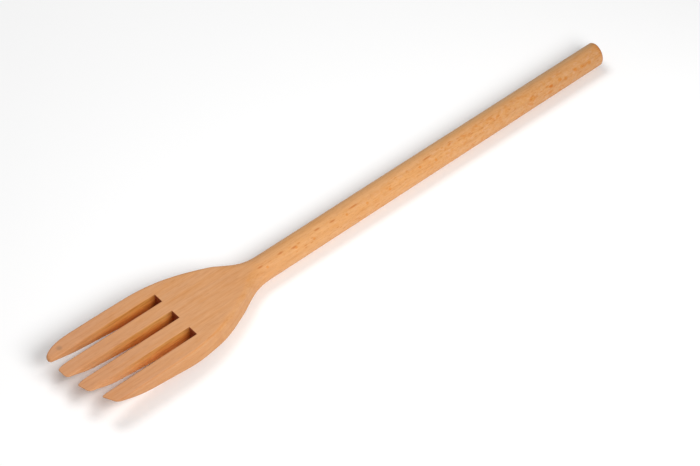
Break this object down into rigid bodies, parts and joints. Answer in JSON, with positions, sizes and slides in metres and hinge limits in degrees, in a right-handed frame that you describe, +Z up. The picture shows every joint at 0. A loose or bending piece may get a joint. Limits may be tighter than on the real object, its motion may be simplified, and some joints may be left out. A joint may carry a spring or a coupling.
{
  "type": "wooden fork",
  "caption": "Long-handled one-piece wooden fork with flat tapered tines, square-ended slots, a flared shoulder and a round handle.",
  "frame": {"origin": "under the middle of the fork's box, on the surface it lies on", "axes": "+X along the fork from the tine tips to the end of the handle, +Y across the tines, +Z up, the way the flat upper face looks"},
  "size_m": [0.3, 0.0414, 0.012],
  "materials": {
    "beech": "plain sanded beech, unvarnished, with a dull natural sheen"
  },
  "bodies": {
    "root": {"fork": "beech"}
  },
  "joints": []
}
